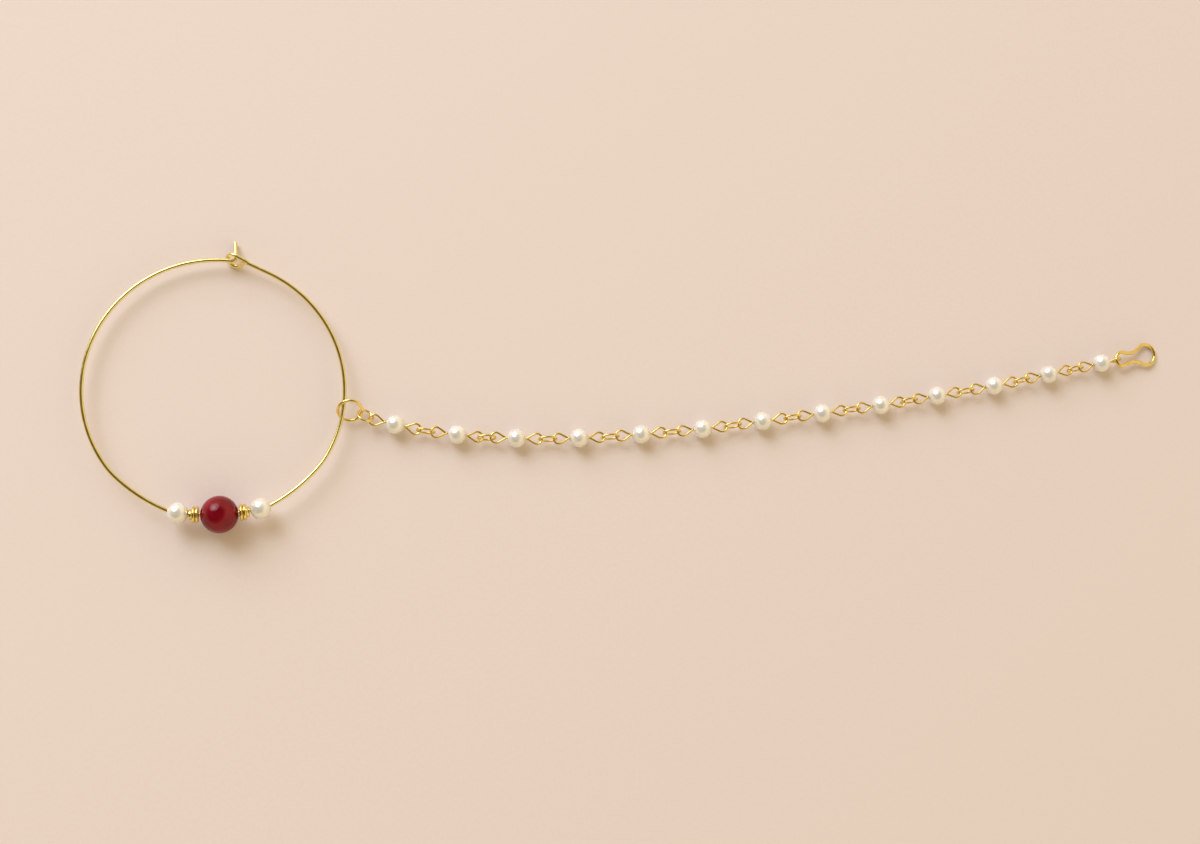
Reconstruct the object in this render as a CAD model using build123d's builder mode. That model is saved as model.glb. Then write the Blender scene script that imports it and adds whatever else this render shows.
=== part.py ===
"""Nath nose ring: a wire hoop with a red bead between two pearls, and a chain of pearls that ends in a hook.

Millimetres, +Z up. The piece lies on a table at z = 0, as put down by hand: the red bead and the clasp carry the
hoop, and the pearls carry the chain. The origin is on the table, under the middle of the whole piece.
"""

import math
import os

from build123d import *

os.makedirs("parts", exist_ok=True)


def cosd(degrees):
    return math.cos(math.radians(degrees))


def sind(degrees):
    return math.sin(math.radians(degrees))


# ---- Driving dimensions -------------------------------------------------------------------------------------------

# Where the middle of the hoop lies from the middle of the whole piece.
hoop_x = -68.394
hoop_y = -0.583

# The hoop: 22 gauge wire, 40 mm across the wire's centre line. Each half is a little flatter than a full round, so
# the centre of its arc lies on the other side of the middle, and a little below it. Its lower part is flatter still,
# from a soft knee down to the pearl, and under the beads the wire is nearly straight.
hoop_wire_diameter = 0.64
hoop_radius = 20.4
half_centre_across = 0.42
half_centre_below = 0.07
knee_radius = 12.0
lower_radius = 26.0
lower_centre_across = 3.6
lower_centre_above = 4.95
bead_corner_radius = 2.0
bead_stretch_radius = 35.0
bottom_angle = 3.3
bottom_to_middle = 19.44
round_end_angle_left = 8.5
round_end_angle_right = 27.5

# Beads on the hoop, and where each sits along the wire from the middle of the red bead.
ruby_diameter = 5.85
ruby_bore = 0.95
hoop_pearl_diameter = 3.3
hoop_pearl_bore = 1.05
hoop_pearl_at = 6.3
hoop_pearl_turn = 3.0
spacer_at = 3.1
spacer_bore = 0.8
spacer_ridge_diameter = 2.6
spacer_ridge_length = 0.52
spacer_collar_diameter = 1.6
spacer_collar_length = 0.48

# The clasp: an eye on one end of the wire, and a post on the other end, bent out through the eye.
eye_radius = 1.24
eye_tilt = 55.0
eye_seat = 0.03
eye_run = 3.86
eye_neck_radius = 0.45
eye_line_above_centre = 0.62
eye_tail_length = 2.1
eye_lift = 6.5
post_above_eye = 0.56
post_bend_radius = 0.55
post_fall = 25.0
post_length = 2.85

# The two plain rings between the hoop and the chain: centre from the middle of the hoop, and how each one leans.
jump_ring_wire = 0.5
jump_ring_radius = 1.88
jump_ring_centre = (20.83, -3.01, 2.15)
jump_ring_turn = 0.0
jump_ring_fall = 0.0
jump_ring_lean = 38.0
first_ring_wire = 0.38
first_ring_radius = 1.28
first_ring_centre = (23.27, -3.77, 1.70)
first_ring_turn = -20.0
first_ring_fall = 6.0
first_ring_lean = -49.0

# The chain: thirteen pearls, each on a pin with a teardrop loop at either end, joined by oval links.
chain_pearl_diameter = 3.0
chain_pearl_bore = 0.55
chain_wire = 0.36
first_pearl = (27.91, -5.09)
first_pearl_heading = -12.0
loop_tip = 1.66
knot_radius = 0.215
knot_clearance = 0.1
loop_radius = 0.84
loop_half_angle = 31.0
last_loop_radius = 0.7
last_loop_half_angle = 38.0
last_loop_roll = 78.0
oval_half_length = 1.38
oval_half_width = 0.66
oval_end_radius = 0.5

# Heading and length of each step from one pearl to the next, and how far the pin at its start is rolled.
chain_steps = [
    # heading, step, roll, link lean
    (-8.7, 9.9, 8.0, 66.0),
    (-3.0, 9.5, -12.0, 60.0),
    (0.8, 10.1, 0.0, 62.0),
    (4.0, 10.16, -14.0, 60.0),
    (5.6, 10.16, -3.0, 64.0),
    (7.6, 10.16, -10.0, 61.0),
    (8.1, 10.16, 1.0, 63.0),
    (8.4, 10.14, -12.0, 60.0),
    (9.8, 9.9, -4.0, 62.0),
    (10.4, 10.14, -14.0, 60.0),
    (12.0, 9.9, 0.0, 63.0),
    (12.2, 9.7, -10.0, 60.0),
]
last_pin_heading = 12.3
last_pin_roll = -6.0

# The hook: a closed wire with a small lobe on the last pin and a large lobe for the hair.
hook_wire = 0.6
hook_small_radius = 1.15
hook_large_radius = 1.75
hook_waist_radius = 3.2
hook_lobe_distance = 4.75
hook_heading = 10.5
hook_end_from_pearl = 2.8
hook_start_height = 1.45


# ---- Helpers ------------------------------------------------------------------------------------------------------


def write(piece, name):
    """Names the piece and writes it as one STEP file."""
    piece.part.label = name
    export_step(piece.part, f"parts/{name}.step")


def wire_along(path, diameter):
    """A round wire swept along a path, from its first point to its last one."""
    with BuildPart() as wire:
        with BuildSketch(Plane(origin=path @ 0, z_dir=path % 0)):
            Circle(diameter / 2)
        sweep(path=path)
    return wire


def round_ring(radius, diameter, plane):
    """A closed round wire ring about the plane's own axis."""
    with BuildPart() as ring:
        with BuildSketch(Plane(origin=plane.origin, x_dir=plane.x_dir, z_dir=-plane.y_dir)):
            with Locations((radius, 0)):
                Circle(diameter / 2)
        revolve(axis=Axis(plane.origin, plane.z_dir))
    return ring


def bored_ball(diameter, bore):
    """A round bead at the origin, drilled through along x."""
    with BuildPart() as ball:
        with BuildSketch(Plane.XZ):
            Circle(diameter / 2)
            Rectangle(2 * diameter, bore, mode=Mode.SUBTRACT)
            with Locations((0, -diameter)):
                Rectangle(2 * diameter, 2 * diameter, mode=Mode.SUBTRACT)
        revolve(axis=Axis.X)
    return ball


def placed(pattern, plane):
    """A copy of a piece made at the origin, laid into a plane."""
    with BuildPart() as copy:
        with Locations(Location(plane)):
            add(pattern.part, clean=False)
    return copy


def leaning_plane(centre, turn, fall, lean):
    """A plane whose x axis is turned about z and falls below level, and which leans up on its left side."""
    x_dir = Vector(cosd(turn) * cosd(fall), sind(turn) * cosd(fall), -sind(fall))
    level = Vector(-sind(turn), cosd(turn), 0)
    across = level * cosd(lean) + x_dir.cross(level) * sind(lean)
    return Plane(origin=centre, x_dir=x_dir, z_dir=x_dir.cross(across))


def from_hoop(x, y, z):
    """A point given from the middle of the hoop, in the frame of the whole piece."""
    return Vector(hoop_x + x, hoop_y + y, z)


# ---- The hoop's two planes ----------------------------------------------------------------------------------------

# Both halves of the wire start at the middle of the red bead, side by side along the same line, and rise towards the
# clasp in planes of slightly different slope, as the sprung ends of a wire hoop do. In each plane x runs along the
# wire at the bottom, y runs from the bottom to the clasp, and the origin is the middle of the hoop.
bottom_height = ruby_diameter / 2
bottom_polar = bottom_angle - 90
bottom = from_hoop(
    bottom_to_middle * cosd(bottom_polar),
    bottom_to_middle * sind(bottom_polar),
    bottom_height,
)


# Heights at the clasp: the eye's low side touches the table, and the post's end of the wire passes over that side.
eye_height = eye_radius * sind(eye_tilt) + hoop_wire_diameter / 2 + eye_seat
right_round_end_y = hoop_radius * cosd(round_end_angle_right) - half_centre_below
right_end_y = right_round_end_y + eye_run * sind(round_end_angle_right)
right_end_height = eye_height + eye_line_above_centre * sind(eye_tilt)
right_drop = bottom_height - right_end_height
right_half_slope = math.degrees(math.asin(right_drop / (bottom_to_middle + right_end_y)))
left_end_y = hoop_radius * cosd(round_end_angle_left) - half_centre_below
left_drop = bottom_height - eye_height - post_above_eye
left_half_slope = math.degrees(math.asin(left_drop / (bottom_to_middle + left_end_y)))


def half_plane(slope):
    """The plane of one half of the hoop, which falls by the slope from the bottom to the clasp."""
    x_dir = Vector(cosd(bottom_angle), sind(bottom_angle), 0)
    level = Vector(-sind(bottom_angle), cosd(bottom_angle), 0)
    up_hoop = level * cosd(slope) - Vector(0, 0, 1) * sind(slope)
    return Plane(origin=bottom + up_hoop * bottom_to_middle, x_dir=x_dir, z_dir=x_dir.cross(up_hoop))


left_plane = half_plane(left_half_slope)
right_plane = half_plane(right_half_slope)

# Two corner arcs join the arcs of a half: one inside the pearl, and the knee.
bead_stretch_centre = (0, bead_stretch_radius - bottom_to_middle)
lower_centre = (-lower_centre_across, lower_centre_above)
half_centre = (-half_centre_across, -half_centre_below)


def corner_slopes(radius, low_centre, low_radius, high_centre, high_radius):
    """The slopes of the right half's wire where a corner arc leaves the lower arc and meets the higher one."""
    low = Vector(*low_centre)
    high = Vector(*high_centre)
    gap = (high - low).length
    ahead = (high - low).normalized()
    low_reach = low_radius - radius
    along = (gap**2 + low_reach**2 - (high_radius - radius) ** 2) / (2 * gap)
    aside = math.sqrt(low_reach**2 - along**2)
    middle = low + ahead * along + Vector(-ahead.Y, ahead.X) * aside
    return [math.degrees(math.atan2(middle.X - end.X, end.Y - middle.Y)) for end in (low, high)]


stretch_slope, lower_slope = corner_slopes(
    bead_corner_radius, bead_stretch_centre, bead_stretch_radius, lower_centre, lower_radius
)
knee_slope, round_slope = corner_slopes(knee_radius, lower_centre, lower_radius, half_centre, hoop_radius)


def on_wire(along):
    """The plane of a bead at this length along the bead stretch from the bottom, with x along the wire."""
    plane = right_plane if along >= 0 else left_plane
    turned = math.degrees(along / bead_stretch_radius)
    x = bead_stretch_radius * sind(turned)
    y = bead_stretch_radius * (1 - cosd(turned)) - bottom_to_middle
    origin = plane.from_local_coords(Vector(x, y, 0))
    ahead = plane.from_local_coords(Vector(x + cosd(turned), y + sind(turned), 0))
    return Plane(origin=origin, x_dir=ahead - origin, z_dir=plane.z_dir)


# ---- Hoop wire with its clasp -------------------------------------------------------------------------------------

# The left half: from the middle of the red bead round to the left and over the top.
with BuildLine(left_plane) as left_half:
    left_stretch = JernArc((0, -bottom_to_middle), (-1, 0), bead_stretch_radius, -stretch_slope)
    left_corner = JernArc(left_stretch @ 1, left_stretch % 1, bead_corner_radius, stretch_slope - lower_slope)
    left_lower = JernArc(left_corner @ 1, left_corner % 1, lower_radius, lower_slope - knee_slope)
    left_knee = JernArc(left_lower @ 1, left_lower % 1, knee_radius, knee_slope - round_slope)
    left_turn = 180 - round_slope + round_end_angle_left
    left_round = JernArc(left_knee @ 1, left_knee % 1, hoop_radius, -left_turn)

# The post: over the eye's low side, the wire is bent outwards and down, and it passes under the eye's high side.
post_along = left_round % 1
post_level_out = Vector(0, 0, 1).cross(post_along).normalized()
post_out = post_level_out * cosd(post_fall) - Vector(0, 0, 1) * sind(post_fall)
post_plane = Plane(origin=left_round @ 1, x_dir=post_along, z_dir=post_along.cross(post_out))
with BuildLine(post_plane) as post_line:
    post_bend = JernArc((0, 0), (1, 0), post_bend_radius, 90 + round_end_angle_left)
    post = Line(post_bend @ 1, (post_bend @ 1) + (post_bend % 1) * post_length)

# The right half: round to the right, and in a straight run up to the eye.
with BuildLine(right_plane) as right_half:
    right_stretch = JernArc((0, -bottom_to_middle), (1, 0), bead_stretch_radius, stretch_slope)
    right_corner = JernArc(right_stretch @ 1, right_stretch % 1, bead_corner_radius, lower_slope - stretch_slope)
    right_lower = JernArc(right_corner @ 1, right_corner % 1, lower_radius, knee_slope - lower_slope)
    right_knee = JernArc(right_lower @ 1, right_lower % 1, knee_radius, round_slope - knee_slope)
    right_turn = 180 - round_slope - round_end_angle_right
    right_round = JernArc(right_knee @ 1, right_knee % 1, hoop_radius, right_turn)
    right_run = Line(right_round @ 1, (right_round @ 1) + (right_round % 1) * eye_run)

# The eye leans up from the line of the wire, its outer side high. The wire necks in, goes round, and lifts a little in
# its last quarter, so that it ends in a short straight tail that comes back over itself.
eye_along = (right_run % 1) * -1
eye_level_out = Vector(0, 0, 1).cross(eye_along).normalized()
eye_out = eye_level_out * cosd(eye_tilt) + Vector(0, 0, 1) * sind(eye_tilt)
eye_plane = Plane(origin=right_run @ 1, x_dir=eye_along, z_dir=eye_along.cross(eye_out))
eye_join_sin = (eye_line_above_centre - eye_neck_radius) / (eye_radius + eye_neck_radius)
neck_turn = 90 + math.degrees(math.asin(eye_join_sin))
with BuildLine(eye_plane) as eye_line:
    neck = JernArc((0, 0), (-1, 0), eye_neck_radius, neck_turn)
    eye_round = JernArc(neck @ 1, neck % 1, eye_radius, -(90 + neck_turn))

lifted = eye_plane.z_dir * cosd(eye_lift) - eye_plane.x_dir * sind(eye_lift)
with BuildLine(Plane(origin=eye_round @ 1, x_dir=eye_round % 1, z_dir=lifted)) as tail_line:
    eye_close = JernArc((0, 0), (1, 0), eye_radius, -90)
    tail = Line(eye_close @ 1, (eye_close @ 1) + (eye_close % 1) * eye_tail_length)

with BuildLine() as hoop_path:
    add(post_line.line)
    add(left_half.line)
    add(right_half.line)
    add(eye_line.line)
    add(tail_line.line)

hoop_wire = wire_along(hoop_path.wire(), hoop_wire_diameter)
write(hoop_wire, "hoop_wire")

# ---- Beads on the hoop --------------------------------------------------------------------------------------------

write(placed(bored_ball(ruby_diameter, ruby_bore), on_wire(0)), "ruby_bead")

hoop_pearl = bored_ball(hoop_pearl_diameter, hoop_pearl_bore)
for side, end in ((-1, "left"), (1, "right")):
    # The wire bends up inside the pearl, so the pearl's hole lies between the wire's two directions.
    pearl_plane = on_wire(side * hoop_pearl_at).rotated((0, 0, side * hoop_pearl_turn))
    write(placed(hoop_pearl, pearl_plane), f"hoop_pearl_{end}")

    # A turned spacer: two round-edged ridges towards the red bead, and a collar towards the pearl.
    spacer_plane = on_wire(side * spacer_at)
    with BuildPart() as spacer:
        with BuildSketch(Plane(origin=spacer_plane.origin, x_dir=spacer_plane.x_dir * side, z_dir=spacer_plane.z_dir)):
            core_length = 2 * spacer_ridge_length + spacer_collar_length
            with Locations((core_length / 2, spacer_collar_diameter / 4)):
                Rectangle(core_length, spacer_collar_diameter / 2)
            for ridge in (0, 1):
                middle = spacer_ridge_length * (ridge + 0.5)
                ridge_round = spacer_ridge_length / 2
                ridge_top = spacer_ridge_diameter / 2 - ridge_round
                with Locations((middle, ridge_top / 2)):
                    Rectangle(spacer_ridge_length, ridge_top)
                with Locations((middle, ridge_top)):
                    Circle(ridge_round)
            with Locations((core_length / 2, 0)):
                Rectangle(2 * core_length, spacer_bore, mode=Mode.SUBTRACT)
            with Locations((core_length / 2, -spacer_ridge_diameter)):
                Rectangle(2 * core_length, 2 * spacer_ridge_diameter, mode=Mode.SUBTRACT)
        revolve(axis=Axis(spacer_plane.origin, spacer_plane.x_dir))
    write(spacer, f"spacer_{end}")

# ---- Jump ring and first ring -------------------------------------------------------------------------------------

jump_plane = leaning_plane(from_hoop(*jump_ring_centre), jump_ring_turn, jump_ring_fall, jump_ring_lean)
write(round_ring(jump_ring_radius, jump_ring_wire, jump_plane), "jump_ring")

first_plane = leaning_plane(from_hoop(*first_ring_centre), first_ring_turn, first_ring_fall, first_ring_lean)
write(round_ring(first_ring_radius, first_ring_wire, first_plane), "first_ring")

# ---- Chain --------------------------------------------------------------------------------------------------------


def loop_reach(radius, half_angle):
    """How far the far side of a teardrop loop lies from the middle of its pearl."""
    return loop_tip + radius / sind(half_angle) + radius


def teardrop_loop(radius, half_angle):
    """A teardrop wire loop in x and y: two straight strands from the tip on x, and a round far side."""
    straight = radius / math.tan(math.radians(half_angle))
    away = Vector(cosd(half_angle), sind(half_angle), 0)
    tip = Vector(loop_tip, 0, 0)
    with BuildPart() as loop:
        with BuildLine() as half:
            strand = Line(tip + away * knot_clearance, tip + away * straight)
            JernArc(strand @ 1, strand % 1, radius, -(90 + half_angle))
        with BuildSketch(Plane(origin=half.wire() @ 0, z_dir=half.wire() % 0)):
            Circle(chain_wire / 2)
        sweep(path=half.wire())
        split(bisect_by=Plane.XZ, keep=Keep.BOTTOM)
        mirror(about=Plane.XZ)
        with Locations(tip):
            Sphere(knot_radius, rotation=(45, 90, 0))
    return loop


def pearl_pin(left_loop, right_loop, right_roll):
    """The wire through one pearl at the origin, along x, with a teardrop loop at each end."""
    with BuildPart() as pin:
        with BuildSketch(Plane.YZ):
            Circle(chain_wire / 2)
        extrude(amount=loop_tip - knot_clearance, both=True)
        add(left_loop.part, rotation=(0, 0, 180))
        add(right_loop.part, rotation=(right_roll, 0, 0))
    return pin


def oval_link():
    """A closed oval wire link of four arcs, the ends tighter than the sides; x runs along it."""
    end_x = oval_half_length - oval_end_radius
    rise = oval_half_width - oval_end_radius
    side_radius = (end_x**2 + rise**2) / (2 * rise) + oval_end_radius
    side_angle = math.degrees(math.asin(end_x / (side_radius - oval_end_radius)))
    with BuildPart() as link:
        with BuildLine() as half:
            link_end = JernArc((oval_half_length, 0), (0, 1), oval_end_radius, 90 - side_angle)
            middle = JernArc(link_end @ 1, link_end % 1, side_radius, 2 * side_angle)
            JernArc(middle @ 1, middle % 1, oval_end_radius, 90 - side_angle)
        with BuildSketch(Plane.XZ):
            with Locations((oval_half_length, 0)):
                Circle(chain_wire / 2)
        sweep(path=half.wire())
        mirror(about=Plane.XZ)
    return link


pearl_height = chain_pearl_diameter / 2
places = [from_hoop(*first_pearl, pearl_height)]
for heading, step, roll, lean in chain_steps:
    places.append(places[-1] + Vector(cosd(heading), sind(heading), 0) * step)

step_headings = [row[0] for row in chain_steps]
pin_headings = [first_pearl_heading]
for before, after in zip(step_headings, step_headings[1:]):
    pin_headings.append((before + after) / 2)
pin_headings.append(last_pin_heading)
pin_rolls = [row[2] for row in chain_steps] + [last_pin_roll]

reach = loop_reach(loop_radius, loop_half_angle)
chain_pearl = bored_ball(chain_pearl_diameter, chain_pearl_bore)
plain_loop = teardrop_loop(loop_radius, loop_half_angle)
last_loop = teardrop_loop(last_loop_radius, last_loop_half_angle)
plain_pin = pearl_pin(plain_loop, plain_loop, 0)
last_pin = pearl_pin(plain_loop, last_loop, last_loop_roll)
for index, place in enumerate(places):
    number = f"{index + 1:02d}"
    pin_plane = leaning_plane(place, pin_headings[index], 0, pin_rolls[index])
    write(placed(chain_pearl, pin_plane), f"chain_pearl_{number}")
    is_last = index == len(places) - 1
    write(placed(last_pin if is_last else plain_pin, pin_plane), f"pearl_pin_{number}")

link_pattern = oval_link()
for index, (heading, step, roll, lean) in enumerate(chain_steps):
    here = Vector(cosd(pin_headings[index]), sind(pin_headings[index]), 0)
    there = Vector(cosd(pin_headings[index + 1]), sind(pin_headings[index + 1]), 0)
    start = places[index] + here * reach
    finish = places[index + 1] - there * reach
    across = finish - start
    turn = math.degrees(math.atan2(across.Y, across.X))
    link_plane = leaning_plane((start + finish) / 2, turn, 0, lean)
    write(placed(link_pattern, link_plane), f"oval_link_{index + 1:02d}")

# ---- Hook ---------------------------------------------------------------------------------------------------------

# The hook hangs on the last loop at its small lobe and rests on the table at its large lobe.
hook_length = hook_small_radius + hook_lobe_distance + hook_large_radius
hook_fall = math.degrees(math.asin((hook_start_height - hook_wire / 2) / hook_length))
hook_along = Vector(cosd(last_pin_heading), sind(last_pin_heading), 0)
hook_plane = leaning_plane(Vector(0, 0, 0), hook_heading, hook_fall, 0)
hook_start = places[-1] + hook_along * hook_end_from_pearl
hook_start = Vector(hook_start.X, hook_start.Y, hook_start_height)
hook_origin = hook_start + hook_plane.x_dir * hook_small_radius
hook_plane = leaning_plane(hook_origin, hook_heading, hook_fall, 0)

# The waist's arcs touch both lobes: their middle is one corner of the triangle on the two lobes' middles.
small_side = hook_small_radius + hook_waist_radius
large_side = hook_large_radius + hook_waist_radius
waist_x = (small_side**2 - large_side**2 + hook_lobe_distance**2) / (2 * hook_lobe_distance)
small_angle = math.degrees(math.acos(waist_x / small_side))
large_angle = math.degrees(math.acos((hook_lobe_distance - waist_x) / large_side))
with BuildLine(hook_plane) as hook_half:
    small_lobe = JernArc((-hook_small_radius, 0), (0, 1), hook_small_radius, -(180 - small_angle))
    waist = JernArc(small_lobe @ 1, small_lobe % 1, hook_waist_radius, 180 - small_angle - large_angle)
    JernArc(waist @ 1, waist % 1, hook_large_radius, -(180 - large_angle))
with BuildPart() as end_hook:
    with BuildSketch(Plane(origin=hook_half.wire() @ 0, z_dir=hook_half.wire() % 0)):
        Circle(hook_wire / 2)
    sweep(path=hook_half.wire())
    mirror(about=Plane(origin=hook_plane.origin, z_dir=hook_plane.y_dir))
write(end_hook, "end_hook")
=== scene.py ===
# %% [markdown]
# # A nath: a nose ring with a chain of pearls
#
# The frame holds every wire, ring, link and bead as an exact solid, in metres, lying on a table at z = 0. This
# lesson gives them their looks: it turns the beads again with a finer surface, mixes the gold, the pearl coat and
# the red stone from nodes, and lights them like a small piece on a table by a window.

# %% Load the frame
import math

import bmesh
import bpy
import numpy as np
from mathutils import Matrix, Vector


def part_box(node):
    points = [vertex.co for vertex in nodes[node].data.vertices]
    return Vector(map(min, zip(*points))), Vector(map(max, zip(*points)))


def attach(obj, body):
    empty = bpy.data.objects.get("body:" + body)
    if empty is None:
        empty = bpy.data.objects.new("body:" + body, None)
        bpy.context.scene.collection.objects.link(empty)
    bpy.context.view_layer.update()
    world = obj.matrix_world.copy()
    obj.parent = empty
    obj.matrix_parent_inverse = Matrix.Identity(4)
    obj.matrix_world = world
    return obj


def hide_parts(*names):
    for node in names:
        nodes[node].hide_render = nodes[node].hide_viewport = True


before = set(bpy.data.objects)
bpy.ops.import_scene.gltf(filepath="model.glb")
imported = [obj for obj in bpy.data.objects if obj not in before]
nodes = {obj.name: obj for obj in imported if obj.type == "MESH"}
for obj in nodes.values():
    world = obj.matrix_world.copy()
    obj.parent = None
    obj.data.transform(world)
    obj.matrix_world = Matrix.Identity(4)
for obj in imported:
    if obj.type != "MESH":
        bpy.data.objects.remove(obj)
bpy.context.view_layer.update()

# %% [markdown]
# ## Units and colours
#
# Jewellery is measured in millimetres and Blender works in metres, so one constant turns one into the other.
# Colours are picked as sRGB hex values, as on a colour card, and the shaders work on linear light, so one function
# does the turning for every material.

# %% Units and colours
mm = 0.001


def linear(hex_colour):
    """An sRGB hex colour as linear red, green, blue and alpha."""
    channels = [int(hex_colour[i : i + 2], 16) / 255 for i in (1, 3, 5)]
    turned = [c / 12.92 if c <= 0.04045 else ((c + 0.055) / 1.055) ** 2.4 for c in channels]
    return (*turned, 1.0)


print("gold card", [round(c, 3) for c in linear("#EED281")])

# %% [markdown]
# ## Adding nodes
#
# A material is a small graph. One function adds any node: its kind, its settings by name, and its inputs, where a
# plain value sets the socket and another node's socket is linked to it. A recipe built on it makes what all of the
# finishes here need, since no real surface has one even colour: random clouds, and a colour that drifts with them.

# %% Node helper


def add_node(tree, kind, inputs=(), **settings):
    """Adds a node, sets its settings, and sets or links its inputs, given as (socket, value or output) pairs."""
    node = tree.nodes.new(kind)
    for name, value in settings.items():
        setattr(node, name, value)
    for socket, value in inputs:
        if isinstance(value, bpy.types.NodeSocket):
            tree.links.new(value, node.inputs[socket])
        else:
            node.inputs[socket].default_value = value
    return node


def new_material(name):
    """A material with an empty node tree, and that tree."""
    material = bpy.data.materials.new(name)
    material.use_nodes = True
    material.node_tree.nodes.clear()
    return material, material.node_tree


node_kinds = [kind for kind in dir(bpy.types) if kind.startswith("ShaderNode")]
print(len(node_kinds), "kinds of shader node to choose from")

# %% Drifting colour


def drifting(tree, noise_settings, thin, thick, start=0.3, end=0.7):
    """Clouds, and a colour that goes from thin to thick, two hex values, as the clouds go from start to end."""
    clouds = add_node(tree, "ShaderNodeTexNoise", noise_settings).outputs["Fac"]
    share = add_node(tree, "ShaderNodeMapRange", [("Value", clouds), ("From Min", start), ("From Max", end)])
    colours = [("Factor", share.outputs["Result"]), (6, linear(thin)), (7, linear(thick))]
    return clouds, add_node(tree, "ShaderNodeMix", colours, data_type="RGBA").outputs[2]


def per_metre(size_mm):
    """The scale that makes a noise feature about this many millimetres wide, on coordinates in metres."""
    return 1 / (size_mm * mm)


print("a 0.5 mm grain has scale", per_metre(0.5))

# %% [markdown]
# ## Gold plate on brass wire
#
# The wires are drawn brass with a bright gold plating. Drawing leaves the wire smooth, and plating keeps it bright,
# so it mirrors its surroundings: pale lines along its edges, where it looks at the walls and the table, and a dark
# line down its middle, where it looks at the ceiling. Handling leaves a faint haze that changes over a millimetre or
# so, and a very fine scuff. The hoop comes from another bath than the chain, and its plate is a paler, greener gold,
# so one recipe is used with two pairs of colours.

# %% Polished gold plate


def plated(name, thin, thick):
    """A polished gold plate whose colour drifts from a thin coat's to a thick one's."""
    plate, tree = new_material(name)
    place = add_node(tree, "ShaderNodeTexCoord").outputs["Object"]
    soft = [("Vector", place), ("Scale", per_metre(1.2)), ("Detail", 3.0), ("Roughness", 0.5)]
    haze, colour = drifting(tree, soft, thin, thick)
    fine = [("Vector", place), ("Scale", per_metre(0.12)), ("Detail", 2.0), ("Roughness", 0.6)]
    scuff = add_node(tree, "ShaderNodeTexNoise", fine).outputs["Fac"]
    dulled = [("Value", haze), ("From Min", 0.3), ("From Max", 0.7), ("To Min", 0.17), ("To Max", 0.26)]
    rough = add_node(tree, "ShaderNodeMapRange", dulled).outputs["Result"]
    scratched = [("Height", scuff), ("Strength", 0.12), ("Distance", 0.01 * mm)]
    bump = add_node(tree, "ShaderNodeBump", scratched).outputs["Normal"]
    metal = [("Base Color", colour), ("Metallic", 1.0), ("Roughness", rough), ("Normal", bump)]
    shader = add_node(tree, "ShaderNodeBsdfPrincipled", metal)
    add_node(tree, "ShaderNodeOutputMaterial", [("Surface", shader.outputs["BSDF"])])
    print(name, len(tree.nodes), "nodes")
    return plate


pale_gold = plated("polished_pale_gold_plate_on_hoop_wire", "#EAD586", "#F2DE97")
deep_gold = plated("polished_gold_plate_on_chain_wire", "#EACB76", "#F2D787")

# %% [markdown]
# ## Pearl coat
#
# The pearls are glass beads dipped many times in a pearl essence. Each coat is a little clear, so light goes in,
# scatters and comes out soft, and the topmost one gives a satin gloss. The tiny flakes in the essence mirror like
# metal, so a part of the shine is made metallic: that gives the dull grey heart and the bright rim of a pearl, where
# a plain white ball would be even. The body is white with a breath of cream, and the coats gather unevenly, so the
# colour drifts over about a millimetre.

# %% Pearl coat on glass
pearl_coat, tree = new_material("pearl_essence_coat_on_glass")
place = add_node(tree, "ShaderNodeTexCoord").outputs["Object"]
coats = [("Vector", place), ("Scale", per_metre(1.6)), ("Detail", 2.0), ("Roughness", 0.5)]
pearl_colour = drifting(tree, coats, "#E8E3DC", "#F1EDE6")[1]
flakes = [("Vector", place), ("Scale", per_metre(0.25)), ("Detail", 3.0), ("Roughness", 0.55)]
flake_height = add_node(tree, "ShaderNodeTexNoise", flakes).outputs["Fac"]
uneven = [("Height", flake_height), ("Strength", 0.08), ("Distance", 0.02 * mm)]
pearl_bump = add_node(tree, "ShaderNodeBump", uneven).outputs["Normal"]
pearl_inputs = [
    ("Base Color", pearl_colour),
    ("Metallic", 0.38),
    ("Roughness", 0.25),
    ("IOR", 1.56),
    ("Subsurface Weight", 0.6),
    ("Subsurface Radius", (1.0, 0.85, 0.65)),
    ("Subsurface Scale", 1.0 * mm),
    ("Coat Weight", 0.1),
    ("Coat Roughness", 0.2),
    ("Coat IOR", 1.6),
    ("Normal", pearl_bump),
]
pearl_shader = add_node(tree, "ShaderNodeBsdfPrincipled", pearl_inputs)
add_node(tree, "ShaderNodeOutputMaterial", [("Surface", pearl_shader.outputs["BSDF"])])
print(pearl_coat.name, len(tree.nodes), "nodes")

# %% [markdown]
# ## Red stone
#
# The large bead is a dyed red stone, tumbled to a high polish. Dye follows the stone's veins, so clouds of brighter
# crimson float in a deep wine red, a few millimetres across, and a little light goes in and comes out red. Dye and
# wax fill the pores of such a stone, so it mirrors less than clear glass does. The specular level is lowered for
# that, or a grey veil would lie over the red, and the rest of the gloss is tinted a little warm.

# %% Dyed and polished red stone
red_stone, tree = new_material("polished_dyed_red_stone")
place = add_node(tree, "ShaderNodeTexCoord").outputs["Object"]
veins = [("Vector", place), ("Scale", per_metre(2.6)), ("Detail", 3.0), ("Roughness", 0.5), ("Distortion", 0.15)]
stone_colour = drifting(tree, veins, "#6A0213", "#880A1F", 0.35, 0.68)[1]
stone_inputs = [
    ("Base Color", stone_colour),
    ("Roughness", 0.1),
    ("IOR", 1.54),
    ("Specular IOR Level", 0.31),
    ("Specular Tint", (1.0, 0.8, 0.7, 1.0)),
    ("Subsurface Weight", 0.2),
    ("Subsurface Radius", (1.0, 0.15, 0.12)),
    ("Subsurface Scale", 0.8 * mm),
]
stone_shader = add_node(tree, "ShaderNodeBsdfPrincipled", stone_inputs)
add_node(tree, "ShaderNodeOutputMaterial", [("Surface", stone_shader.outputs["BSDF"])])
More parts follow.
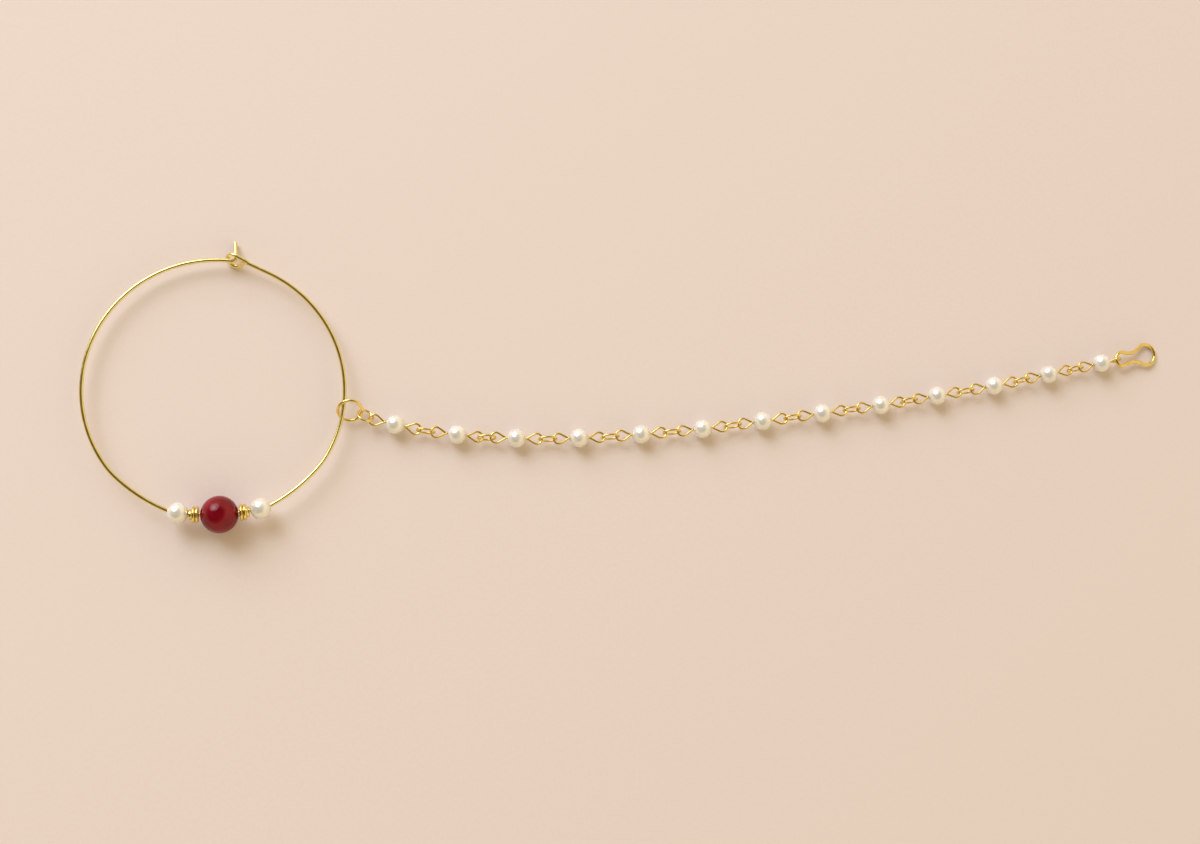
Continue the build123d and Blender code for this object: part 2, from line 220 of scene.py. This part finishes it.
print(red_stone.name, len(tree.nodes), "nodes")

# %% [markdown]
# ## Gold on every wire
#
# The hoop, rings, pins, links and hook are already exact solids with smooth round sections, so their meshes stay
# and only take the gold.

# %% Wires take the gold
wire_names = [name for name in nodes if not name.startswith(("chain_pearl", "hoop_pearl", "ruby", "spacer"))]
for name in wire_names:
    for slot in nodes[name].material_slots:
        slot.material = pale_gold if name == "hoop_wire" else deep_gold
print(len(wire_names), "wire pieces in gold")

# %% [markdown] ## Laying a piece in place  Beads and spacers are each made at the origin with the hole along x,
# where their shape is easy to think about.

# %% Laying a piece


def node_middle(name):
    """The middle of a node's box."""
    low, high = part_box(name)
    return (Vector(low) + Vector(high)) / 2


def lay_mesh(bm, name, middle, along, material, stands_for):
    """Moves a finished bmesh to its place, with x turned to its direction, and makes it a piece of the object."""
    turn = Vector((1, 0, 0)).rotation_difference(Vector(along).normalized()).to_matrix().to_4x4()
    bmesh.ops.transform(bm, matrix=Matrix.Translation(middle) @ turn, verts=bm.verts)
    bmesh.ops.recalc_face_normals(bm, faces=bm.faces)
    for face in bm.faces:
        face.smooth = True
    mesh = bpy.data.meshes.new(name)
    bm.to_mesh(mesh)
    bm.free()
    mesh.materials.append(material)
    piece = bpy.data.objects.new(name, mesh)
    bpy.context.collection.objects.link(piece)
    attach(piece, "root")
    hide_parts(stands_for)
    return piece


print("red bead's middle", [round(c / mm, 2) for c in node_middle("ruby_bead")], "mm")

# %% [markdown]
# ## Turning a bead
#
# A drilled bead is a body of revolution, so it is turned as on a lathe: half an outline, spun round the hole. The
# outline starts as one vertex that is itself spun into an arc. At each end the arc steps over a tiny chamfer, which
# the drill leaves, into the hole, and a last line along the hole closes it. A subdivided ball with a cut hole would
# have uneven faces round the hole's edge, and a spin has none.

# %% Turned bead


def turned_bead(radius, hole, chamfer, rings=40, sides=64):
    """A ball with a chamfered hole along x, as a bmesh at the origin."""
    bm = bmesh.new()
    edge_angle = math.asin((hole + chamfer) / radius)
    first = bm.verts.new((radius * math.cos(edge_angle), 0, radius * math.sin(edge_angle)))
    arc = math.pi - 2 * edge_angle
    bmesh.ops.spin(bm, geom=[first], cent=(0, 0, 0), axis=(0, -1, 0), angle=arc, steps=rings, use_merge=False)
    bm.verts.ensure_lookup_table()
    ends = sorted(bm.verts, key=lambda v: v.co.x)
    mouths = []
    for end, side in ((ends[0], -1), (ends[-1], 1)):
        mouth = bm.verts.new((end.co.x - side * chamfer, 0, hole))
        bm.edges.new((end, mouth))
        mouths.append(mouth)
    bm.edges.new(mouths)
    outline = list(bm.verts) + list(bm.edges)
    bmesh.ops.spin(
        bm, geom=outline, cent=(0, 0, 0), axis=(1, 0, 0), angle=2 * math.pi, steps=sides, use_merge=True
    )
    bmesh.ops.remove_doubles(bm, verts=bm.verts, dist=0.0005 * mm)
    return bm


trial = turned_bead(1.5 * mm, 0.25 * mm, 0.04 * mm)
print("trial bead", len(trial.faces), "faces, open edges", sum(not e.is_manifold for e in trial.edges))
trial.free()

# %% [markdown]
# ## The beads on the hoop
#
# The hoop's wire fills most of each hole. A bead's hole points at its neighbour on the wire, so the directions are
# taken from the middles of the solids. Inside each pearl the wire bends up into the hoop, so the pearl tilts with it.

# %% Red bead and hoop pearls
red_hole = 0.44 * mm
red_chamfer = 0.08 * mm
hoop_pearl_hole = 0.5 * mm
hoop_pearl_chamfer = 0.06 * mm
pearl_tilt = math.radians(5.7)
ruby_middle = node_middle("ruby_bead")
low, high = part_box("ruby_bead")
ruby_radius = (high[2] - low[2]) / 2
stretch = node_middle("spacer_right") - node_middle("spacer_left")
lay_mesh(
    turned_bead(ruby_radius, red_hole, red_chamfer, rings=64, sides=96),
    "red_bead",
    ruby_middle,
    stretch,
    red_stone,
    "ruby_bead",
)
for side, end in ((-1, "left"), (1, "right")):
    middle = node_middle(f"hoop_pearl_{end}")
    low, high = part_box(f"hoop_pearl_{end}")
    bent = Matrix.Rotation(side * pearl_tilt, 3, "Z")
    lay_mesh(
        turned_bead((high[1] - low[1]) / 2, hoop_pearl_hole, hoop_pearl_chamfer, rings=48, sides=72),
        f"pearl_on_hoop_{end}",
        middle,
        bent @ (middle - node_middle(f"spacer_{end}")),
        pearl_coat,
        f"hoop_pearl_{end}",
    )
print("red bead", round(2 * ruby_radius / mm, 2), "mm across")

# %% [markdown]
# ## The chain's pearls
#
# Each one is threaded on its own straight pin, so the hole follows the pin. A pin is long and thin, so its longest
# spread, the first direction of a singular value decomposition of its points, is the way it runs.

# %% Chain pearls
chain_pearl_hole = 0.25 * mm
chain_pearl_chamfer = 0.05 * mm


def long_direction(name):
    """The direction in which a node's points spread the most."""
    points = np.array([vertex.co for vertex in nodes[name].data.vertices])
    return Vector(np.linalg.svd(points - points.mean(axis=0), full_matrices=False)[2][0])


chain_names = sorted(name for name in nodes if name.startswith("chain_pearl"))
for name in chain_names:
    number = name[-2:]
    low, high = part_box(name)
    lay_mesh(
        turned_bead((high[2] - low[2]) / 2, chain_pearl_hole, chain_pearl_chamfer),
        f"pearl_on_chain_{number}",
        node_middle(name),
        long_direction(f"pearl_pin_{number}"),
        pearl_coat,
        name,
    )
print(len(chain_names), "chain pearls")

# %% [markdown]
# ## Spacers
#
# Between each pearl and the red bead sits a small turned spacer: two round ridges against the red bead and a collar
# against the pearl. A few corner points give the lathe outline, a bevel of those corners rounds the ridges, and a
# spin turns it.

# %% Spacer sizes
ridge_radius = 1.3 * mm
ridge_length = 0.52 * mm
collar_radius = 0.8 * mm
collar_length = 0.48 * mm
spacer_hole = 0.4 * mm
groove_radius = 0.92 * mm
groove_end = ridge_length * 1.04
spacer_length = 2 * ridge_length + collar_length
print("spacer", round(spacer_length / mm, 2), "mm long and", round(2 * ridge_radius / mm, 2), "mm across")

# %% Spacer outline


def rounded(bm, corners, offset, segments):
    """Rounds some corners of an outline."""
    bmesh.ops.bevel(
        bm,
        geom=corners,
        affect="VERTICES",
        offset=offset,
        offset_type="OFFSET",
        segments=segments,
        profile=0.5,
        material=-1,
    )


def turned_spacer():
    """The spacer with its ridges at x = 0 and its collar towards +x, as a bmesh at the origin."""
    bm = bmesh.new()
    corners = [(0, spacer_hole), (0, ridge_radius), (ridge_length, ridge_radius), (ridge_length, groove_radius)]
    corners += [(groove_end, groove_radius), (groove_end, ridge_radius)]
    corners += [(ridge_length * 2, ridge_radius), (ridge_length * 2, collar_radius)]
    corners += [(spacer_length, collar_radius), (spacer_length, spacer_hole)]
    outline = [bm.verts.new((x, 0, z)) for x, z in corners]
    for here, there in zip(outline, outline[1:] + outline[:1]):
        bm.edges.new((here, there))
    rounded(bm, [v for v in outline if v.co.z > ridge_radius * 0.99], ridge_length * 0.48, 7)
    end_ring = [v for v in bm.verts if abs(v.co.x - spacer_length) < 1e-7]
    rounded(bm, [v for v in end_ring if v.co.z > spacer_hole * 1.5], 0.14 * mm, 4)
    outline = list(bm.verts) + list(bm.edges)
    bmesh.ops.spin(bm, geom=outline, cent=(0, 0, 0), axis=(1, 0, 0), angle=2 * math.pi, steps=72, use_merge=True)
    bmesh.ops.remove_doubles(bm, verts=bm.verts, dist=0.0005 * mm)
    return bm


trial = turned_spacer()
print("trial spacer", len(trial.faces), "faces, open edges", sum(not e.is_manifold for e in trial.edges))
trial.free()

# %% Both spacers
for end in ("left", "right"):
    from_ruby = (node_middle(f"spacer_{end}") - ruby_middle).normalized()
    spacer = lay_mesh(
        turned_spacer(),
        f"turned_spacer_{end}",
        node_middle(f"spacer_{end}") - from_ruby * spacer_length / 2,
        from_ruby,
        deep_gold,
        f"spacer_{end}",
    )
    print(spacer.name, len(spacer.data.polygons), "faces")

# %% [markdown]
# ## Table
#
# A plain pale surface, matt like coated paper, warm beige. One flat sheet is enough, 3 m wide, so that its edges stay
# far outside the main view. It is part of the stage, not of the piece.

# %% Table top
table_paper, tree = new_material("matt_beige_paper")
place = add_node(tree, "ShaderNodeTexCoord").outputs["Object"]
fibres = [("Vector", place), ("Scale", per_metre(0.6)), ("Detail", 4.0), ("Roughness", 0.6)]
paper_colour = drifting(tree, fibres, "#E3D4CF", "#E5D7D3")[1]
paper_shader = add_node(tree, "ShaderNodeBsdfPrincipled", [("Base Color", paper_colour), ("Roughness", 0.75)])
add_node(tree, "ShaderNodeOutputMaterial", [("Surface", paper_shader.outputs["BSDF"])])

bm = bmesh.new()
bmesh.ops.create_grid(bm, x_segments=1, y_segments=1, size=1.5)
table_mesh = bpy.data.meshes.new("table_top")
bm.to_mesh(table_mesh)
bm.free()
table_mesh.materials.append(table_paper)
table_top = bpy.data.objects.new("table_top", table_mesh)
bpy.context.collection.objects.link(table_top)
print("table", table_paper.name)

# %% [markdown]
# ## Light
#
# A window at the upper left is the main light. It is made of two disc lamps: a wide one for the curtained window and
# a smaller, brighter one within it for the open pane. The wide one makes each shadow soft a bead's width away from
# where the bead meets the table, and the small one gives the stone and the pearls a crisp highlight. Their light is
# a little cooler than the rest, as daylight is in a lit room. One small function makes both.

# %% Directions


def direction(azimuth, elevation):
    """The direction at this many degrees round from x towards y, and this many up from the table."""
    flat = math.cos(math.radians(elevation))
    turn = math.radians(azimuth)
    return Vector((flat * math.cos(turn), flat * math.sin(turn), math.sin(math.radians(elevation))))


print("straight up", [round(c, 2) for c in direction(0, 90)])

# %% Window lamps


def disc_lamp(name, from_where, half_angle, energy):
    """A round daylight lamp 1.5 m away that fills this half angle, in degrees, as seen from the table."""
    distance = 1.5
    light = bpy.data.lights.new(name, "AREA")
    light.shape = "DISK"
    light.size = 2 * distance * math.tan(math.radians(half_angle))
    light.energy = energy
    light.color = (0.88, 1.0, 1.2)
    lamp = bpy.data.objects.new(name, light)
    lamp.location = from_where * distance
    lamp.rotation_euler = from_where.to_track_quat("Z", "Y").to_euler()
    bpy.context.collection.objects.link(lamp)
    print(name, round(light.size, 2), "m across, from", [round(c, 2) for c in from_where])


disc_lamp("curtained_window_lamp", direction(126, 35), 24, 11.9)
disc_lamp("open_pane_lamp", direction(131, 37), 12, 4.0)

# %% [markdown]
# ## Glow
#
# Light from the walls and the table fills the shadows and turns them warm brown. A sun lamp whose disc is almost as
# wide as the sky gives that fill evenly. Polished wire and pearls would mirror such a lamp as one flat sheet and
# lose their dark lines, so reflections don't see it.

# %% Glow of the room
glow = bpy.data.lights.new("room_glow", "SUN")
glow.angle = math.radians(160)
glow.energy = 0.51
glow.color = (1.25, 0.93, 0.43)
room_glow = bpy.data.objects.new("room_glow", glow)
room_glow.visible_glossy = False
bpy.context.collection.objects.link(room_glow)
print("glow", round(glow.energy, 2), "watts per square metre")

# %% [markdown]
# ## What the metal mirrors
#
# Polished gold shows little colour of its own: it shows the room. So the world is a simple room: warm walls at the
# height of the table, a dark ceiling above them that leans a little to the left, and a pale wall round the window.
# The dark ceiling draws the line down each wire, and the walls draw its bright edges. As the ceiling leans, the line
# sits nearer to the left edge on wires that run up and down, and in the middle on wires that run left to right.
# Two round patches on the walls are enough for that.

# %% Room
room = bpy.data.worlds.new("warm_room_with_dark_ceiling")
bpy.context.scene.world = room
room.use_nodes = True
tree = room.node_tree
tree.nodes.clear()
looked_at = add_node(tree, "ShaderNodeTexCoord").outputs["Generated"]


def painted(room_colour, patch_colour, centre, start, end):
    """The room with a round patch: all of its colour within the end angle of the centre, none past the start."""
    dots = [(0, looked_at), (1, tuple(centre))]
    dot = add_node(tree, "ShaderNodeVectorMath", dots, operation="DOT_PRODUCT").outputs["Value"]
    limits = [("Value", dot), ("From Min", math.cos(math.radians(start))), ("From Max", math.cos(math.radians(end)))]
    share = add_node(tree, "ShaderNodeMapRange", limits, interpolation_type="SMOOTHSTEP").outputs["Result"]
    colours = [("Factor", share), (6, room_colour), (7, patch_colour)]
    return add_node(tree, "ShaderNodeMix", colours, data_type="RGBA").outputs[2]


warm_walls = (1.0, 0.87, 0.60, 1.0)
dark_ceiling = (0.13, 0.098, 0.052, 1.0)
pale_wall = (1.3, 1.2, 1.0, 1.0)
room_colour = painted(warm_walls, dark_ceiling, direction(170, 68), 70, 42)
room_colour = painted(room_colour, pale_wall, direction(116, 28), 36, 10)
background = add_node(tree, "ShaderNodeBackground", [("Color", room_colour), ("Strength", 1.0)])
add_node(tree, "ShaderNodeOutputWorld", [("Surface", background.outputs["Background"])])
bpy.context.scene.view_settings.view_transform = "Standard"
print("room", room.name)

# %% [markdown]
# ## Camera
#
# The camera looks down from 263 mm above the red bead. It is turned a little to the right, where the chain runs, and
# a little away. A 50 mm lens on a 36 mm wide sensor frames the whole piece from there.

# %% Camera
camera_data = bpy.data.cameras.new("camera")
camera_data.sensor_width = 36.0
camera_data.lens = 50.0
camera_data.clip_start = 0.01
camera = bpy.data.objects.new("camera", camera_data)
from_red_bead = Vector((18.939, -4.943, 263.125)) * mm
camera.location = ruby_middle + from_red_bead
turn_right = Matrix.Rotation(math.radians(-8.73), 3, "Y")
turn_away = Matrix.Rotation(math.radians(4.28), 3, "X")
camera.rotation_euler = (turn_right @ turn_away).to_euler()
bpy.context.collection.objects.link(camera)
bpy.context.scene.camera = camera
print("camera", [round(c / mm, 1) for c in camera.location], "mm")

# %% [markdown] ## Finish Each bead fills its solid's space, and nothing has moved.
